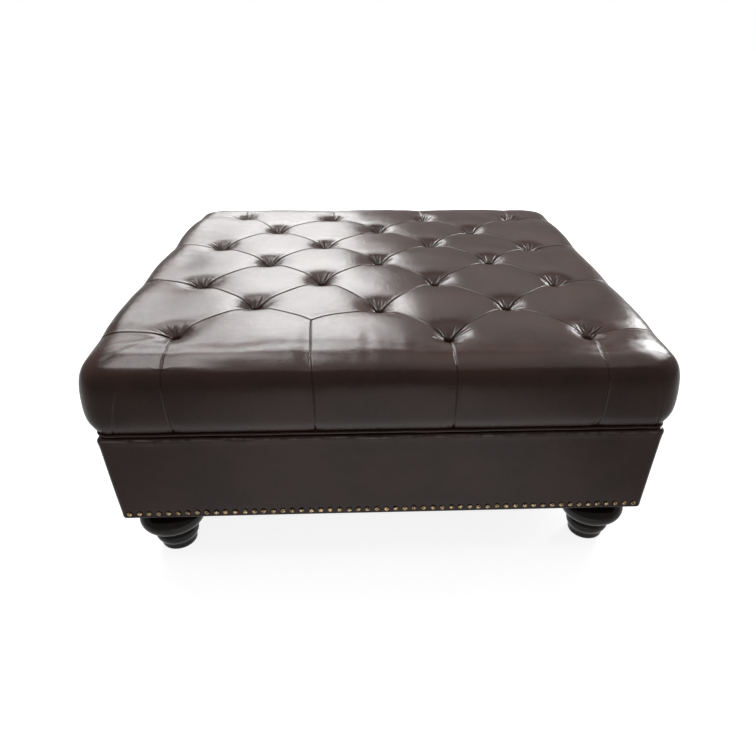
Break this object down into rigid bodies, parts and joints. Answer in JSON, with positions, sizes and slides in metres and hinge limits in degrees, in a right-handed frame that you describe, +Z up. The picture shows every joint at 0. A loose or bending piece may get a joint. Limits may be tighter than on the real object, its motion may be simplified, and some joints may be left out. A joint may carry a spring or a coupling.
{
  "type": "ottoman coffee table",
  "caption": "Square tufted leather ottoman coffee table with a lift-up cushioned lid over a storage box, a nailhead row along the base and turned bun feet.",
  "frame": {"origin": "centre of the footprint on the floor", "axes": "+Z up, -Y towards the front that the picture shows, +Y towards the lid's hinges, +X to the right seen from the front"},
  "size_m": [1.042, 1.042, 0.4573],
  "materials": {
    "leather": "semi-gloss pigmented bonded leather, dark brown",
    "foam": "open-cell upholstery foam",
    "dust_cloth": "non-woven black cloth",
    "lining_cloth": "plain black woven cloth",
    "twine": "waxed tufting twine",
    "bumper_rubber": "soft black rubber",
    "glide_plastic": "nylon glide",
    "plywood": "raw plywood",
    "frame_wood": "raw hardwood",
    "espresso_wood": "near-black stain under gloss lacquer",
    "antique_brass": "antiqued brass",
    "zinc_steel": "zinc-plated steel",
    "black_paint": "black enamel",
    "strut_chrome": "hard chrome"
  },
  "bodies": {
    "base": {"base_front_wall": "frame_wood", "base_back_wall": "frame_wood", "base_left_wall": "frame_wood", "base_right_wall": "frame_wood", "bottom_panel": "plywood", "frame_dowels": "frame_wood", "bottom_screws": "zinc_steel", "base_cover": "leather", "dust_cover": "dust_cloth", "cavity_lining": "lining_cloth", "nails_front": "antique_brass", "nails_right": "antique_brass", "nails_back": "antique_brass", "nails_left": "antique_brass", "foot_front_left": "espresso_wood", "foot_front_right": "espresso_wood", "foot_back_left": "espresso_wood", "foot_back_right": "espresso_wood", "foot_glides": "glide_plastic", "foot_bolts": "zinc_steel", "foot_tee_nuts": "zinc_steel", "rim_bumpers": "bumper_rubber", "hinge_lower_screws": "zinc_steel", "strut_left_base_bracket": "zinc_steel", "strut_right_base_bracket": "zinc_steel", "strut_base_screws": "zinc_steel", "hinge_left_lower_leaf": "zinc_steel", "hinge_middle_lower_leaf": "zinc_steel", "hinge_right_lower_leaf": "zinc_steel", "hinge_left_pin": "zinc_steel", "hinge_middle_pin": "zinc_steel", "hinge_right_pin": "zinc_steel"},
    "lid": {"lid_board": "plywood", "lid_lining": "lining_cloth", "foam_block": "foam", "tufted_cover": "leather", "tuft_buttons": "leather", "tufting_twines": "twine", "lid_welt": "leather", "hinge_upper_screws": "zinc_steel", "strut_left_lid_bracket": "zinc_steel", "strut_right_lid_bracket": "zinc_steel", "strut_lid_screws": "zinc_steel", "hinge_left_upper_leaf": "zinc_steel", "hinge_middle_upper_leaf": "zinc_steel", "hinge_right_upper_leaf": "zinc_steel"},
    "strut_left_cylinder": {"strut_left_tube": "black_paint", "strut_left_gland": "zinc_steel"},
    "strut_left_piston": {"strut_left_rod": "strut_chrome"},
    "strut_right_cylinder": {"strut_right_tube": "black_paint", "strut_right_gland": "zinc_steel"},
    "strut_right_piston": {"strut_right_rod": "strut_chrome"}
  },
  "joints": [
    {"name": "lid_hinge", "type": "hinge", "parent": "base", "child": "lid", "pos_m": [0, 0.5122, 0.30965], "axis": [-1, 0, 0], "range_deg": [0, 58]},
    {"name": "strut_left_base_pivot", "type": "hinge", "parent": "base", "child": "strut_left_cylinder", "pos_m": [-0.467, 0.452, 0.1645], "axis": [-1, 0, 0], "range_deg": [0, 29]},
    {"name": "strut_left_lid_pivot", "type": "hinge", "parent": "lid", "child": "strut_left_piston", "pos_m": [-0.467, 0.35551, 0.2978], "axis": [-1, 0, 0], "range_deg": [-29, 0]},
    {"name": "strut_right_base_pivot", "type": "hinge", "parent": "base", "child": "strut_right_cylinder", "pos_m": [0.467, 0.452, 0.1645], "axis": [-1, 0, 0], "range_deg": [0, 29]},
    {"name": "strut_right_lid_pivot", "type": "hinge", "parent": "lid", "child": "strut_right_piston", "pos_m": [0.467, 0.35551, 0.2978], "axis": [-1, 0, 0], "range_deg": [-29, 0]}
  ],
  "couplings": [
    {"joint": "strut_left_base_pivot", "follows": "lid_hinge", "ratio": 0.5},
    {"joint": "strut_left_lid_pivot", "follows": "lid_hinge", "ratio": -0.5},
    {"joint": "strut_right_base_pivot", "follows": "lid_hinge", "ratio": 0.5},
    {"joint": "strut_right_lid_pivot", "follows": "lid_hinge", "ratio": -0.5}
  ]
}
